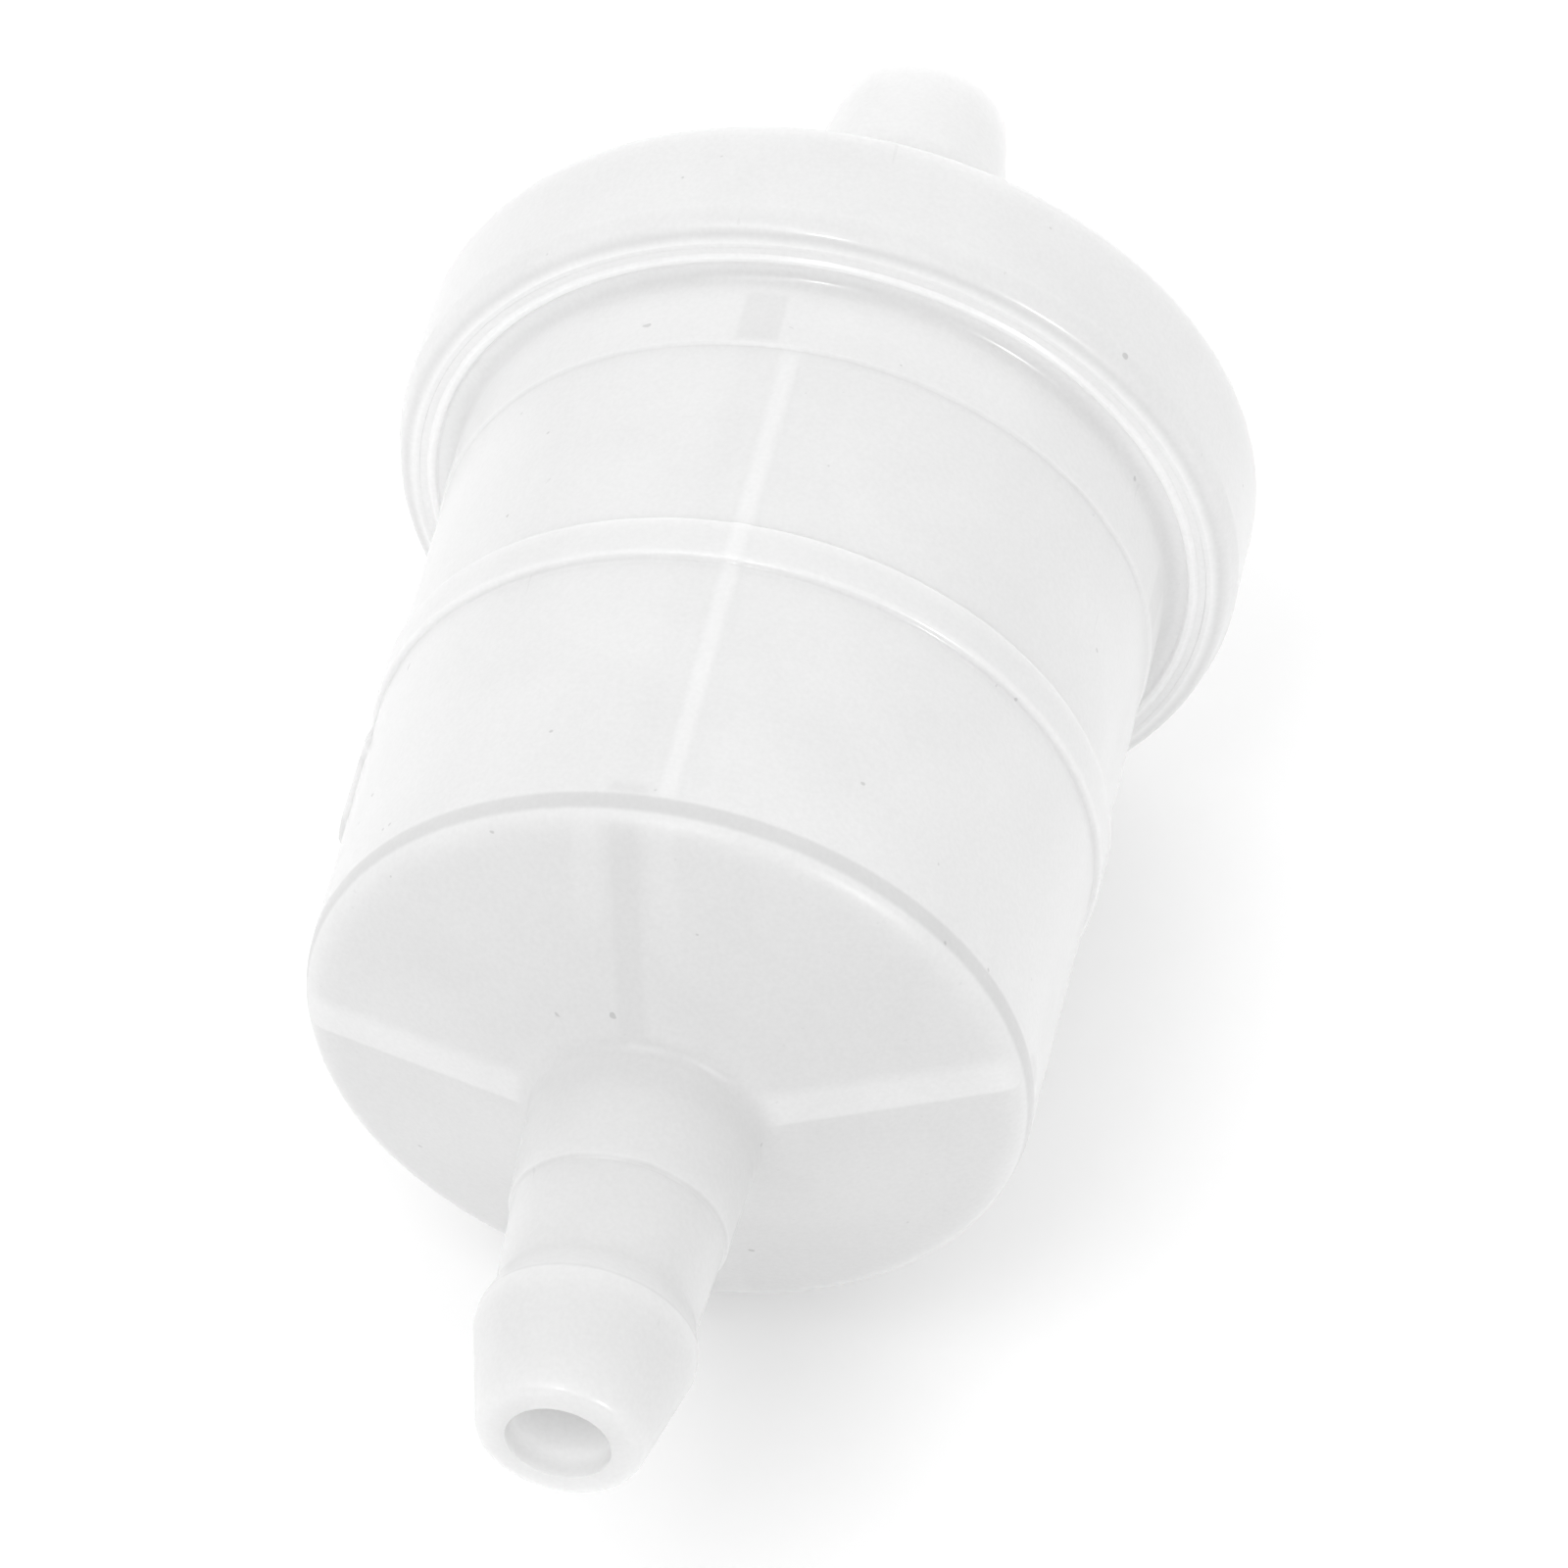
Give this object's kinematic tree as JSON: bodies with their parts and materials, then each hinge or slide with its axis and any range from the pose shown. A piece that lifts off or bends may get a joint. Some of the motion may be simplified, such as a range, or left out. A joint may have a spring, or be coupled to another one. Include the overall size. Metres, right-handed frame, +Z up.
{
  "type": "in-line fuel filter",
  "caption": "In-line fuel filter: a milky plastic bowl and flanged cap, each with a hose barb, around a pleated paper element.",
  "frame": {"origin": "middle of the filter: half its overall length, on its axis", "axes": "+Y along the filter's axis in the direction of flow, from the inlet barb on the bowl to the outlet barb on the cap; +Z up through one mould parting line"},
  "size_m": [0.0338, 0.0694, 0.0338],
  "materials": {
    "bowl_plastic": "milky translucent moulded nylon, satin",
    "cap_plastic": "milky translucent moulded nylon, satin",
    "filter_paper": "resin-treated cellulose filter paper",
    "seam_strip": "heat-sealed strip",
    "element_plastic": "moulded natural plastic",
    "potting_glue": "set hot-melt glue",
    "gasket_rubber": "fuel-proof rubber"
  },
  "bodies": {
    "root": {"bowl": "bowl_plastic", "cap": "cap_plastic", "pleated_paper": "filter_paper", "paper_seam": "seam_strip", "core_tube": "element_plastic", "closed_end_plate": "element_plastic", "open_end_plate": "element_plastic", "inlet_end_glue": "potting_glue", "outlet_end_glue": "potting_glue", "outlet_gasket": "gasket_rubber"}
  },
  "joints": []
}
